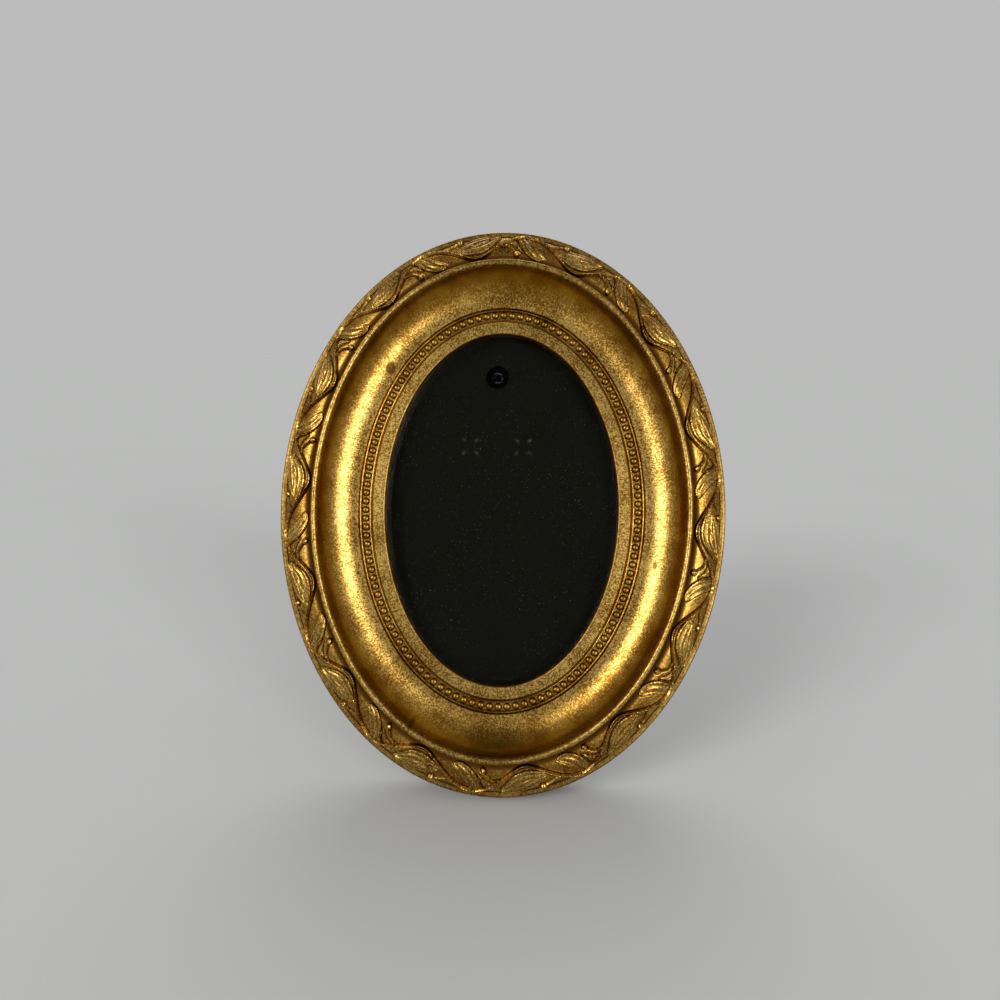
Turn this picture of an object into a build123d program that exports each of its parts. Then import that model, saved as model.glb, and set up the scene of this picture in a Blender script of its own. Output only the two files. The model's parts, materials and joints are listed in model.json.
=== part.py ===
"""Oval picture frame with beaded cove moulding, glass and an easel back.

The pieces are drawn with the frame lying on its back: X to the right, Y up the picture and Z out of
the picture, with the back of the moulding at Z = 0. At the end the whole frame is stood up on its
strut, leaning back, with +Z up and the picture facing -Y.
"""
from build123d import *
import math
import os

# Driving dimensions, in millimetres and degrees

# Oval outline
FRAME_WIDTH = 139.7
FRAME_HEIGHT = 177.8

# Moulding section, from the sight edge outwards
SIGHT_BAND_WIDTH = 4.8
CHANNEL_WIDTH = 3.1
COVE_WIDTH = 12.0
LIP_WIDTH = 2.1
VINE_BAND_WIDTH = 8.8
OUTER_FILLET_WIDTH = 2.05

# Moulding section, heights above the back
SIGHT_HEIGHT = 9.0
COVE_FOOT_HEIGHT = 9.2
LIP_HEIGHT = 17.5
OUTER_HEIGHT = 12.0
CHANNEL_DEPTH = 0.6
BEAD_RADIUS = 1.1
LIP_ROUND_HEIGHT = 1.2
LIP_STEP = 0.5
VINE_BAND_BULGE = 0.9
OUTER_FILLET_STEP = 0.5
EDGE_ROUND = 0.6
OUTER_EDGE_DEPTH = 3.4
UNDERCUT = 1.2
UNDERCUT_DEPTH = 1.0
BACK_INSET = 1.8

# Rebate and what lies in it
REBATE_LEDGE = 3.0
PANE_CLEARANCE = 0.4
GLASS_THICKNESS = 2.0
FACING_THICKNESS = 0.2
BOARD_THICKNESS = 2.4
LINING_THICKNESS = 0.4
BACK_RECESS = 0.1

# Fits
RUNNING_CLEARANCE = 0.05
HOLE_CLEARANCE = 0.05

# Turn buttons and their screws
BUTTON_ANGLE = 38.0
BUTTON_SCREW_OUTSET = 10.5
BUTTON_LAP = 4.5
BUTTON_THICKNESS = 1.0
BUTTON_HEEL_RADIUS = 4.2
BUTTON_TIP_RADIUS = 2.8
BUTTON_EDGE_ROUND = 0.3
SCREW_RADIUS = 1.5
SCREW_LENGTH = 7.0
SCREW_POINT_LENGTH = 1.6
SCREW_HEAD_RADIUS = 2.9
SCREW_HEAD_HEIGHT = 1.5
SCREW_HEAD_ROUND = 0.8
SCREW_SLOT_WIDTH = 0.7
SCREW_SLOT_LENGTH = 3.2
SCREW_SLOT_DEPTH = 0.8
PILOT_SPARE_DEPTH = 0.5

# Easel back, whose centre line lies to the left of the oval's
EASEL_OFFSET = -1.9

# Hanger: eyelet, strap and ring
EYELET_BELOW_SIGHT = 13.0
EYELET_BARREL_RADIUS = 1.3
EYELET_BORE_RADIUS = 0.9
EYELET_HEAD_RADIUS = 2.2
EYELET_HEAD_THICKNESS = 0.6
EYELET_ROLL_RADIUS = 1.75
EYELET_ROLL_THICKNESS = 0.6
RECESS_RADIUS = 3.85
RECESS_DEPTH = 1.2
STRAP_WIDTH = 7.0
STRAP_THICKNESS = 0.6
STRAP_LENGTH = 5.0
RING_WIRE_RADIUS = 0.8
RING_HALF_WIDTH = 5.5
RING_SIDE_LENGTH = 4.0
RING_CORNER_RADIUS = 1.6

# Hinge between board and strut
RIVET_BELOW_EYELET = 23.0
RIVET_TO_PIN = 7.5
LEAF_WIDTH = 26.0
LEAF_THICKNESS = 0.8
LEAF_TOP_MARGIN = 4.0
LEAF_BOTTOM_MARGIN = 2.0
RIVET_SIDE_MARGIN = 4.3
LEAF_CORNER_RADIUS = 2.0
EAR_RADIUS = 2.0
EAR_GAP = 0.4
PIN_RADIUS = 1.0
PIN_STANDOFF = 2.4
PIN_HEAD_RADIUS = 1.7
PIN_HEAD_THICKNESS = 0.6
HEEL_FRONT = 1.0
HEEL_GAP = 0.05
STRUT_LEAF_GAP = 0.2
STRUT_LEAF_TOP = 1.8
STRUT_LEAF_LENGTH = 11.0
STRUT_EAR_LENGTH = 9.0

# Rivets
RIVET_SHANK_RADIUS = 1.25
RIVET_HEAD_RADIUS = 2.4
RIVET_HEAD_THICKNESS = 0.9
RIVET_HEAD_ROUND = 0.6
PRONG_COUNT = 4
PRONG_REACH = 3.0
PRONG_WIDTH = 0.9
PRONG_THICKNESS = 0.35
PRONG_POCKET_DEPTH = 0.4
PRONG_POCKET_MARGIN = 0.3
STRUT_RIVET_SIDE_MARGIN = 5.3
STRUT_RIVET_DROP = 8.0
CLINCH_RADIUS = 2.2
CLINCH_THICKNESS = 0.4

# Strut
STRUT_THICKNESS = 2.4
STRUT_LINING_THICKNESS = 0.4
STRUT_TOP_DROP = 2.4
STRUT_SIDE_GAP = 0.4
STRUT_FOOT_WIDTH = 46.0
STRUT_WAIST = 1.6
STRUT_CORNER_RADIUS = 3.0

# Stance
LEAN_ANGLE = 16.0
STRUT_OPEN_ANGLE = 31.0

# Stations in a lofted round of the moulding section
ROUND_STATIONS = 9

# Values worked out from the dimensions above
CHANNEL_START = SIGHT_BAND_WIDTH
COVE_START = CHANNEL_START + CHANNEL_WIDTH
LIP_START = COVE_START + COVE_WIDTH
VINE_START = LIP_START + LIP_WIDTH
FILLET_START = VINE_START + VINE_BAND_WIDTH
MOULDING_WIDTH = FILLET_START + OUTER_FILLET_WIDTH
SIGHT_HALF_WIDTH = FRAME_WIDTH / 2 - MOULDING_WIDTH
SIGHT_HALF_HEIGHT = FRAME_HEIGHT / 2 - MOULDING_WIDTH

LINING_BACK = BACK_RECESS
BOARD_BACK = LINING_BACK + LINING_THICKNESS
FACING_BACK = BOARD_BACK + BOARD_THICKNESS
GLASS_BACK = FACING_BACK + FACING_THICKNESS
REBATE_DEPTH = GLASS_BACK + GLASS_THICKNESS
PANE_OUTSET = REBATE_LEDGE - PANE_CLEARANCE

EYELET_HEIGHT = SIGHT_HALF_HEIGHT - EYELET_BELOW_SIGHT
RIVET_HEIGHT = EYELET_HEIGHT - RIVET_BELOW_EYELET
LEAF_BACK = LINING_BACK - LEAF_THICKNESS
PIN_Y = RIVET_HEIGHT - RIVET_TO_PIN
PIN_Z = LEAF_BACK - PIN_STANDOFF
STRUT_LEAF_FRONT = LEAF_BACK - STRUT_LEAF_GAP
STRUT_FRONT = STRUT_LEAF_FRONT - LEAF_THICKNESS
STRUT_BACK = STRUT_FRONT - STRUT_THICKNESS
STRUT_LINING_BACK = STRUT_BACK - STRUT_LINING_THICKNESS
STRUT_LEAF_WIDTH = LEAF_WIDTH - 2 * LEAF_THICKNESS - 2 * EAR_GAP
STRUT_TOP_WIDTH = STRUT_LEAF_WIDTH - 2 * LEAF_THICKNESS - 2 * STRUT_SIDE_GAP

STRAP_BACK = LINING_BACK - STRAP_THICKNESS
LOOP_BORE_RADIUS = RING_WIRE_RADIUS + RUNNING_CLEARANCE
LOOP_RADIUS = LOOP_BORE_RADIUS + STRAP_THICKNESS
RING_Y = EYELET_HEIGHT + STRAP_LENGTH
RING_Z = LINING_BACK - LOOP_RADIUS

# The frame leans on the bottom of its back edge, and the strut's foot reaches the same table
BACK_HALF_HEIGHT = FRAME_HEIGHT / 2 - BACK_INSET
LEAN = math.radians(LEAN_ANGLE)
TABLE = Plane((0, -BACK_HALF_HEIGHT, 0), x_dir=(1, 0, 0), z_dir=(0, math.cos(LEAN), math.sin(LEAN)))
PIN_ABOVE_TABLE = (PIN_Y + BACK_HALF_HEIGHT) * math.cos(LEAN) + PIN_Z * math.sin(LEAN)
STRUT_SLOPE = math.radians(STRUT_OPEN_ANGLE - LEAN_ANGLE)
STRUT_LENGTH = PIN_ABOVE_TABLE / math.cos(STRUT_SLOPE)

# The strut leaf's heel meets the board leaf when the strut is fully open
OPENING = math.radians(STRUT_OPEN_ANGLE)
HEEL_HEIGHT = (PIN_STANDOFF - HEEL_GAP - HEEL_FRONT * math.cos(OPENING)) / math.sin(OPENING)


def oval(outset, height):
    """Closed oval at a distance outside the sight edge and a height above the back."""
    ellipse = Edge.make_ellipse(
        SIGHT_HALF_WIDTH + outset, SIGHT_HALF_HEIGHT + outset, Plane.XY.offset(height)
    )
    return Wire([ellipse])


def oval_ring(section):
    """Solid ring in which every point of a closed section runs round its own oval."""
    faces = []
    for edge in section:
        stations = 2 if edge.geom_type == GeomType.LINE else ROUND_STATIONS
        points = [edge @ (i / (stations - 1)) for i in range(stations)]
        faces += Shell.make_loft([oval(p.X, p.Y) for p in points], ruled=stations == 2).faces()
    return Solid(Shell(faces))


def oval_plate(outset, back, front):
    """Flat oval plate between two heights."""
    outline = Ellipse(SIGHT_HALF_WIDTH + outset, SIGHT_HALF_HEIGHT + outset)
    return extrude(Plane.XY.offset(back) * outline, amount=front - back)


def disc(radius, back, front, x=0, y=0):
    """Round bar along Z between two heights."""
    return extrude(Pos(x, y, back) * Circle(radius), amount=front - back)


def bar(radius, left, right, y, z):
    """Round bar along X."""
    section = Plane((left, y, z), x_dir=(0, 1, 0), z_dir=(1, 0, 0)) * Circle(radius)
    return extrude(section, amount=right - left)


def on_easel(part):
    """Shift a piece drawn about X = 0 to the easel back's centre line."""
    return Pos(EASEL_OFFSET, 0, 0) * part


def domed_head(radius, thickness, rounding, front):
    """Rivet or screw head on the Z axis, whose rounded side faces backwards."""
    head = disc(radius, front - thickness, front)
    return fillet(head.edges().group_by(Axis.Z)[0], rounding)


# Moulding

def moulding_section():
    """Edges of the moulding's section, with outset from the sight edge as X and height as Y."""
    channel_floor = SIGHT_HEIGHT - CHANNEL_DEPTH
    bead = CHANNEL_START + CHANNEL_WIDTH / 2
    cove_top = LIP_HEIGHT - LIP_ROUND_HEIGHT
    lip = LIP_START + LIP_WIDTH / 2
    vine_top = cove_top - LIP_STEP
    vine_foot = OUTER_HEIGHT - OUTER_FILLET_STEP
    slope = math.atan2(vine_top - vine_foot, VINE_BAND_WIDTH)
    vine_crown = (
        VINE_START + VINE_BAND_WIDTH / 2 + VINE_BAND_BULGE * math.sin(slope),
        (vine_top + vine_foot) / 2 + VINE_BAND_BULGE * math.cos(slope),
    )
    edge_bottom = OUTER_HEIGHT - OUTER_EDGE_DEPTH
    outlines = [
        Line((0, REBATE_DEPTH), (0, SIGHT_HEIGHT - EDGE_ROUND)),
        CenterArc((EDGE_ROUND, SIGHT_HEIGHT - EDGE_ROUND), EDGE_ROUND, 180, -90),
        Polyline(
            (EDGE_ROUND, SIGHT_HEIGHT),
            (CHANNEL_START, SIGHT_HEIGHT),
            (CHANNEL_START, channel_floor),
            (bead - BEAD_RADIUS, channel_floor),
        ),
        CenterArc((bead, channel_floor), BEAD_RADIUS, 180, -180),
        Polyline(
            (bead + BEAD_RADIUS, channel_floor),
            (COVE_START, channel_floor),
            (COVE_START, COVE_FOOT_HEIGHT),
        ),
        TangentArc((COVE_START, COVE_FOOT_HEIGHT), (LIP_START, cove_top), tangent=(1, 0)),
        ThreePointArc((LIP_START, cove_top), (lip, LIP_HEIGHT), (VINE_START, cove_top)),
        Line((VINE_START, cove_top), (VINE_START, vine_top)),
        ThreePointArc((VINE_START, vine_top), vine_crown, (FILLET_START, vine_foot)),
        Polyline(
            (FILLET_START, vine_foot),
            (FILLET_START, OUTER_HEIGHT),
            (MOULDING_WIDTH - EDGE_ROUND, OUTER_HEIGHT),
        ),
        CenterArc((MOULDING_WIDTH - EDGE_ROUND, OUTER_HEIGHT - EDGE_ROUND), EDGE_ROUND, 90, -90),
        Polyline(
            (MOULDING_WIDTH, OUTER_HEIGHT - EDGE_ROUND),
            (MOULDING_WIDTH, edge_bottom),
            (MOULDING_WIDTH - UNDERCUT, edge_bottom - UNDERCUT_DEPTH),
            (MOULDING_WIDTH - BACK_INSET, 0),
            (REBATE_LEDGE, 0),
            (REBATE_LEDGE, REBATE_DEPTH),
            (0, REBATE_DEPTH),
        ),
    ]
    return [edge for outline in outlines for edge in outline.edges()]


def frame_moulding():
    """Cast oval ring with its rebate and the pilot holes for the button screws."""
    depth = SCREW_LENGTH - BUTTON_THICKNESS + PILOT_SPARE_DEPTH
    ring = oval_ring(moulding_section())
    for place in button_places().values():
        ring -= place * disc(SCREW_RADIUS + HOLE_CLEARANCE, 0, depth)
    return ring


# Glass, board and its coverings

def glass_pane():
    return oval_plate(PANE_OUTSET, GLASS_BACK, REBATE_DEPTH)


def rivet_xs():
    """Sideways places of the two board rivets, from the easel back's centre line."""
    half = LEAF_WIDTH / 2 - RIVET_SIDE_MARGIN
    return {"left": -half, "right": half}


def backing_board():
    """Board with the eyelet's recess and bore, and a pocket and bore for each hinge rivet."""
    recess_floor = GLASS_BACK - RECESS_DEPTH
    cuts = disc(RECESS_RADIUS, recess_floor, GLASS_BACK, 0, EYELET_HEIGHT)
    cuts += disc(EYELET_BARREL_RADIUS + HOLE_CLEARANCE, BOARD_BACK, recess_floor, 0, EYELET_HEIGHT)
    pocket_back = FACING_BACK - PRONG_POCKET_DEPTH
    for x in rivet_xs().values():
        cuts += disc(PRONG_REACH + PRONG_POCKET_MARGIN, pocket_back, FACING_BACK, x, RIVET_HEIGHT)
        cuts += disc(RIVET_SHANK_RADIUS + HOLE_CLEARANCE, BOARD_BACK, pocket_back, x, RIVET_HEIGHT)
    return oval_plate(PANE_OUTSET, BOARD_BACK, FACING_BACK) - on_easel(cuts)


def board_facing():
    """Paper on the front of the board, cut round the eyelet's recess."""
    paper = oval_plate(PANE_OUTSET, FACING_BACK, GLASS_BACK)
    return paper - on_easel(disc(RECESS_RADIUS, FACING_BACK, GLASS_BACK, 0, EYELET_HEIGHT))


def board_lining():
    """Velour on the rear of the board, pierced by the eyelet and the hinge rivets."""
    cuts = disc(EYELET_BARREL_RADIUS + HOLE_CLEARANCE, LINING_BACK, BOARD_BACK, 0, EYELET_HEIGHT)
    for x in rivet_xs().values():
        cuts += disc(RIVET_SHANK_RADIUS + HOLE_CLEARANCE, LINING_BACK, BOARD_BACK, x, RIVET_HEIGHT)
    return oval_plate(PANE_OUTSET, LINING_BACK, BOARD_BACK) - on_easel(cuts)


# Turn buttons

def button_places():
    """Place of each turn button's screw, with X pointing out of the oval."""
    half_width = SIGHT_HALF_WIDTH + BUTTON_SCREW_OUTSET
    half_height = SIGHT_HALF_HEIGHT + BUTTON_SCREW_OUTSET
    quarters = {
        "top_right": BUTTON_ANGLE,
        "top_left": 180 - BUTTON_ANGLE,
        "bottom_left": 180 + BUTTON_ANGLE,
        "bottom_right": 360 - BUTTON_ANGLE,
    }
    places = {}
    for name, degrees in quarters.items():
        angle = math.radians(degrees)
        outward = math.degrees(math.atan2(math.sin(angle) / half_height, math.cos(angle) / half_width))
        places[name] = Pos(half_width * math.cos(angle), half_height * math.sin(angle)) * Rot(0, 0, outward)
    return places


def turn_button(place):
    """Tapered plate that laps over the board from its screw."""
    reach = BUTTON_SCREW_OUTSET - PANE_OUTSET + BUTTON_LAP - BUTTON_TIP_RADIUS
    rounds = Circle(BUTTON_HEEL_RADIUS) + Pos(-reach, 0) * Circle(BUTTON_TIP_RADIUS)
    plate = extrude(Pos(0, 0, -BUTTON_THICKNESS) * make_hull(rounds.edges()), amount=BUTTON_THICKNESS)
    plate = fillet(plate.edges().group_by(Axis.Z)[0], BUTTON_EDGE_ROUND)
    return place * (plate - disc(SCREW_RADIUS + RUNNING_CLEARANCE, -BUTTON_THICKNESS, 0))


def turn_button_screw(place):
    """Round-headed cross-slotted screw through a turn button into the moulding."""
    under_head = -BUTTON_THICKNESS - RUNNING_CLEARANCE
    shank_end = under_head + SCREW_LENGTH - SCREW_POINT_LENGTH
    head_back = under_head - SCREW_HEAD_HEIGHT
    screw = domed_head(SCREW_HEAD_RADIUS, SCREW_HEAD_HEIGHT, SCREW_HEAD_ROUND, under_head)
    screw += disc(SCREW_RADIUS, under_head, shank_end)
    screw += Pos(0, 0, shank_end + SCREW_POINT_LENGTH / 2) * Cone(
        SCREW_RADIUS, SCREW_RADIUS / 4, SCREW_POINT_LENGTH
    )
    for turn in (0, 90):
        slot = Rot(0, 0, turn) * Rectangle(SCREW_SLOT_LENGTH, SCREW_SLOT_WIDTH)
        screw -= extrude(Pos(0, 0, head_back) * slot, amount=SCREW_SLOT_DEPTH)
    return place * screw


# Hanger

def hanger_eyelet():
    """Hollow rivet with a flange behind the strap and a rolled end in the board's recess."""
    recess_floor = GLASS_BACK - RECESS_DEPTH
    roll_front = recess_floor + EYELET_ROLL_THICKNESS
    flange_back = STRAP_BACK - EYELET_HEAD_THICKNESS
    eyelet = disc(EYELET_HEAD_RADIUS, flange_back, STRAP_BACK)
    eyelet += disc(EYELET_BARREL_RADIUS, STRAP_BACK, recess_floor)
    eyelet += disc(EYELET_ROLL_RADIUS, recess_floor, roll_front)
    eyelet -= disc(EYELET_BORE_RADIUS, flange_back, roll_front)
    rims = eyelet.edges().filter_by(GeomType.CIRCLE).group_by(Axis.Z)
    eyelet = fillet(rims[-1] + rims[0], (EYELET_ROLL_RADIUS - EYELET_BORE_RADIUS) / 4)
    return on_easel(Pos(0, EYELET_HEIGHT) * eyelet)


def hanger_strap():
    """Flat strip under the eyelet, rolled into a loop round the ring's bar."""
    half = STRAP_WIDTH / 2
    outline = Pos(0, (EYELET_HEIGHT + RING_Y) / 2) * Rectangle(STRAP_WIDTH, STRAP_LENGTH)
    outline += Pos(0, EYELET_HEIGHT) * Circle(half)
    strap = extrude(Pos(0, 0, STRAP_BACK) * outline, amount=STRAP_THICKNESS)
    strap += bar(LOOP_RADIUS, -half, half, RING_Y, RING_Z)
    strap -= bar(LOOP_BORE_RADIUS, -half, half, RING_Y, RING_Z)
    strap -= disc(EYELET_BARREL_RADIUS + HOLE_CLEARANCE, STRAP_BACK, LINING_BACK, 0, EYELET_HEIGHT)
    return on_easel(strap)


def hanger_ring():
    """D-shaped wire ring, hanging plumb from the strap's loop."""
    side = RING_HALF_WIDTH
    corner = RING_CORNER_RADIUS
    bow = -RING_SIDE_LENGTH
    path = [
        Line((0, 0), (side - corner, 0)),
        CenterArc((side - corner, -corner), corner, 90, -90),
        Line((side, -corner), (side, bow)),
        CenterArc((0, bow), side, 0, -180),
        Line((-side, bow), (-side, -corner)),
        CenterArc((corner - side, -corner), corner, 180, -90),
        Line((corner - side, 0), (0, 0)),
    ]
    wire = Wire([outline.edge() for outline in path])
    section = Plane((0, 0, 0), x_dir=(0, 1, 0), z_dir=(1, 0, 0)) * Circle(RING_WIRE_RADIUS)
    ring = sweep(section, path=wire)
    return on_easel(Pos(0, RING_Y, RING_Z) * Rot(LEAN_ANGLE, 0, 0) * ring)


# Hinge

def ear(outline, left):
    """Upright side of a hinge leaf, from an outline in Y and Z measured from the pin."""
    sheet = extrude(Plane((left, PIN_Y, PIN_Z), x_dir=(0, 1, 0), z_dir=(1, 0, 0)) * outline, LEAF_THICKNESS)
    return sheet - bar(PIN_RADIUS + RUNNING_CLEARANCE, left, left + LEAF_THICKNESS, PIN_Y, PIN_Z)


def hinge_board_leaf():
    """Plate riveted to the board, with an ear at each side for the pin."""
    top = RIVET_HEIGHT + LEAF_TOP_MARGIN
    bottom = PIN_Y - LEAF_BOTTOM_MARGIN
    plate = extrude(
        Pos(0, (top + bottom) / 2, LEAF_BACK) * Rectangle(LEAF_WIDTH, top - bottom),
        amount=LEAF_THICKNESS,
    )
    plate = fillet(plate.edges().filter_by(Axis.Z).group_by(Axis.Y)[-1], LEAF_CORNER_RADIUS)
    for x in rivet_xs().values():
        plate -= disc(RIVET_SHANK_RADIUS + HOLE_CLEARANCE, LEAF_BACK, LINING_BACK, x, RIVET_HEIGHT)
    outline = Pos(0, PIN_STANDOFF / 2) * Rectangle(2 * EAR_RADIUS, PIN_STANDOFF) + Circle(EAR_RADIUS)
    for left in (-LEAF_WIDTH / 2, LEAF_WIDTH / 2 - LEAF_THICKNESS):
        plate += ear(outline, left)
    return on_easel(plate)


def board_rivet(x):
    """Rivet with a domed head behind the leaf and prongs spread in the board's front pocket."""
    prong_back = FACING_BACK - PRONG_POCKET_DEPTH
    rivet = domed_head(RIVET_HEAD_RADIUS, RIVET_HEAD_THICKNESS, RIVET_HEAD_ROUND, LEAF_BACK)
    rivet += disc(RIVET_SHANK_RADIUS, LEAF_BACK, prong_back + PRONG_THICKNESS)
    for i in range(PRONG_COUNT):
        prong = Pos(PRONG_REACH / 2, 0) * Rectangle(PRONG_REACH, PRONG_WIDTH)
        turned = Rot(0, 0, 360 * (i + 0.5) / PRONG_COUNT) * prong
        rivet += extrude(Pos(0, 0, prong_back) * turned, amount=PRONG_THICKNESS)
    return on_easel(Pos(x, RIVET_HEIGHT) * rivet)


def hinge_pin():
    """Headed pin through both pairs of ears."""
    half = LEAF_WIDTH / 2 + RUNNING_CLEARANCE
    pin = bar(PIN_RADIUS, -half, half, PIN_Y, PIN_Z)
    for left in (-half - PIN_HEAD_THICKNESS, half):
        pin += bar(PIN_HEAD_RADIUS, left, left + PIN_HEAD_THICKNESS, PIN_Y, PIN_Z)
    return on_easel(pin)


# Strut and what moves with it, drawn closed and then opened about the pin

def opened(part):
    """Turn a piece about the hinge pin from closed to fully open, on the easel's centre line."""
    return on_easel(Pos(0, PIN_Y, PIN_Z) * Rot(STRUT_OPEN_ANGLE, 0, 0) * Pos(0, -PIN_Y, -PIN_Z) * part)


def strut_rivet_places():
    """Places of the two rivets that hold the strut on its leaf."""
    half = STRUT_LEAF_WIDTH / 2 - STRUT_RIVET_SIDE_MARGIN
    y = PIN_Y - STRUT_RIVET_DROP
    return {"left": (-half, y), "right": (half, y)}


def hinge_strut_leaf():
    """Plate on the front of the strut, with pinned ears whose heels stop the opening."""
    top = PIN_Y - STRUT_LEAF_TOP
    plate_back = STRUT_LEAF_FRONT - LEAF_THICKNESS
    plate = extrude(
        Pos(0, top - STRUT_LEAF_LENGTH / 2, plate_back) * Rectangle(STRUT_LEAF_WIDTH, STRUT_LEAF_LENGTH),
        amount=LEAF_THICKNESS,
    )
    for x, y in strut_rivet_places().values():
        plate -= disc(RIVET_SHANK_RADIUS + HOLE_CLEARANCE, plate_back, STRUT_LEAF_FRONT, x, y)
    front = STRUT_LEAF_FRONT - PIN_Z
    side = Polygon(
        (-STRUT_EAR_LENGTH, front - LEAF_THICKNESS),
        (0, -EAR_RADIUS),
        (HEEL_HEIGHT, 0),
        (HEEL_HEIGHT, HEEL_FRONT),
        (-STRUT_LEAF_TOP, front),
        (-STRUT_EAR_LENGTH, front),
        align=None,
    )
    outline = side + Circle(EAR_RADIUS)
    for left in (-STRUT_LEAF_WIDTH / 2, STRUT_LEAF_WIDTH / 2 - LEAF_THICKNESS):
        plate += ear(outline, left)
    return opened(plate)


def strut_outline():
    """Leg that widens in shallow curves from the hinge to past the table."""
    top = PIN_Y - STRUT_TOP_DROP
    foot = PIN_Y - STRUT_LENGTH - STRUT_THICKNESS
    half_top = STRUT_TOP_WIDTH / 2
    half_foot = STRUT_FOOT_WIDTH / 2
    waist = ((half_top + half_foot) / 2 - STRUT_WAIST, (top + foot) / 2)
    edges = [
        Line((-half_top, top), (half_top, top)),
        ThreePointArc((half_top, top), waist, (half_foot, foot)),
        Line((half_foot, foot), (-half_foot, foot)),
        ThreePointArc((-half_foot, foot), (-waist[0], waist[1]), (-half_top, top)),
    ]
    outline = make_face(edges)
    return fillet(outline.vertices().group_by(Axis.Y)[-1], STRUT_CORNER_RADIUS)


def strut_layer(back, thickness):
    """One layer of the strut, opened and cut off level with the table."""
    layer = extrude(Pos(0, 0, back) * strut_outline(), amount=thickness)
    for x, y in strut_rivet_places().values():
        layer -= disc(RIVET_SHANK_RADIUS + HOLE_CLEARANCE, back, back + thickness, x, y)
    return split(opened(layer), bisect_by=TABLE, keep=Keep.TOP)


def strut_rivet(place):
    """Rivet with a domed head behind the strut and a flat clinch in front of the leaf."""
    rivet = domed_head(RIVET_HEAD_RADIUS, RIVET_HEAD_THICKNESS, RIVET_HEAD_ROUND, STRUT_LINING_BACK)
    rivet += disc(RIVET_SHANK_RADIUS, STRUT_LINING_BACK, STRUT_LEAF_FRONT)
    rivet += disc(CLINCH_RADIUS, STRUT_LEAF_FRONT, STRUT_LEAF_FRONT + CLINCH_THICKNESS)
    return opened(Pos(*place) * rivet)


# All pieces by name

def pieces():
    """Every piece of the frame, lying on its back with the strut open."""
    made = {
        "frame_moulding": frame_moulding(),
        "glass_pane": glass_pane(),
        "board_facing": board_facing(),
        "backing_board": backing_board(),
        "board_lining": board_lining(),
        "hanger_eyelet": hanger_eyelet(),
        "hanger_strap": hanger_strap(),
        "hanger_ring": hanger_ring(),
        "hinge_board_leaf": hinge_board_leaf(),
        "hinge_pin": hinge_pin(),
        "hinge_strut_leaf": hinge_strut_leaf(),
        "strut": strut_layer(STRUT_BACK, STRUT_THICKNESS),
        "strut_lining": strut_layer(STRUT_LINING_BACK, STRUT_LINING_THICKNESS),
    }
    for side, x in rivet_xs().items():
        made[f"board_rivet_{side}"] = board_rivet(x)
    for side, place in strut_rivet_places().items():
        made[f"strut_rivet_{side}"] = strut_rivet(place)
    for corner, place in button_places().items():
        made[f"turn_button_{corner}"] = turn_button(place)
        made[f"turn_button_screw_{corner}"] = turn_button_screw(place)
    return made


# Stand the frame on the table, with the origin under the middle of its outer box
UPRIGHT = Rot(90 - LEAN_ANGLE, 0, 0)
leaning = {name: UPRIGHT * part for name, part in pieces().items()}
extent = Compound(list(leaning.values())).bounding_box()
STANDING = Pos(-extent.center().X, -extent.center().Y, -extent.min.Z)

os.makedirs("parts", exist_ok=True)
for name, part in leaning.items():
    export_step(STANDING * part, f"parts/{name}.step")
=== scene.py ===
"""Looks of the oval picture frame.

The gilt moulding, with its pearl beading and its running vine, and the black paper behind the glass are
rebuilt here as fine meshes. The other pieces keep their shapes and get their finishes. Shapes are drawn in
millimetres with the frame lying on its back (X right, Y up the picture, Z out of the picture) and then
placed, in metres, where it stands.
"""
import json
import math

import bmesh
import bpy
import numpy as np
from mathutils import Matrix, Vector
from mathutils.geometry import delaunay_2d_cdt


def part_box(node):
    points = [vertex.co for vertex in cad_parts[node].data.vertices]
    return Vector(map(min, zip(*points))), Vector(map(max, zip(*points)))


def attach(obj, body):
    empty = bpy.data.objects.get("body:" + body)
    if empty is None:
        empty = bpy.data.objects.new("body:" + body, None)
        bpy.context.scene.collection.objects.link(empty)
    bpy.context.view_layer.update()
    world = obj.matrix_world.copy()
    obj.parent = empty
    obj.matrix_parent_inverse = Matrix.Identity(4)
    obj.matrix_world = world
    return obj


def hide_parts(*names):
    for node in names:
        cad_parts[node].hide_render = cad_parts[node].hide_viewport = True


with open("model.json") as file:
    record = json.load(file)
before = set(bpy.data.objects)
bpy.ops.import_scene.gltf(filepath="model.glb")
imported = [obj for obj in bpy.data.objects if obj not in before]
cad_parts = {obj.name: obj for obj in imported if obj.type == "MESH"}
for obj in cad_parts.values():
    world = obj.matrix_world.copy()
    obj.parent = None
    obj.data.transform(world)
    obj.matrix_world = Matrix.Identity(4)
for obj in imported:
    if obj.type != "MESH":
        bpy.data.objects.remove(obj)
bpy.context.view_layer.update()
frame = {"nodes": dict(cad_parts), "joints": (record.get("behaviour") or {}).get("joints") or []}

MM = 0.001

# Oval, as the solids have it
FRAME_WIDTH = 139.7
FRAME_HEIGHT = 177.8
MOULDING_WIDTH = 32.85
SIGHT_HALF_WIDTH = FRAME_WIDTH / 2 - MOULDING_WIDTH
SIGHT_HALF_HEIGHT = FRAME_HEIGHT / 2 - MOULDING_WIDTH
GLASS_MIDDLE = 4.1

# Moulding section: outsets from the sight edge
SIGHT_BAND_END = 3.95
CHANNEL_START = 5.1
CHANNEL_END = 7.6
COVE_START = 8.7
LIP_START = 19.9
VINE_START = 22.0
FILLET_START = 31.2
UNDERCUT_OUTSET = 31.65
BACK_EDGE = 31.05
REBATE_LEDGE = 3.0

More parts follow.
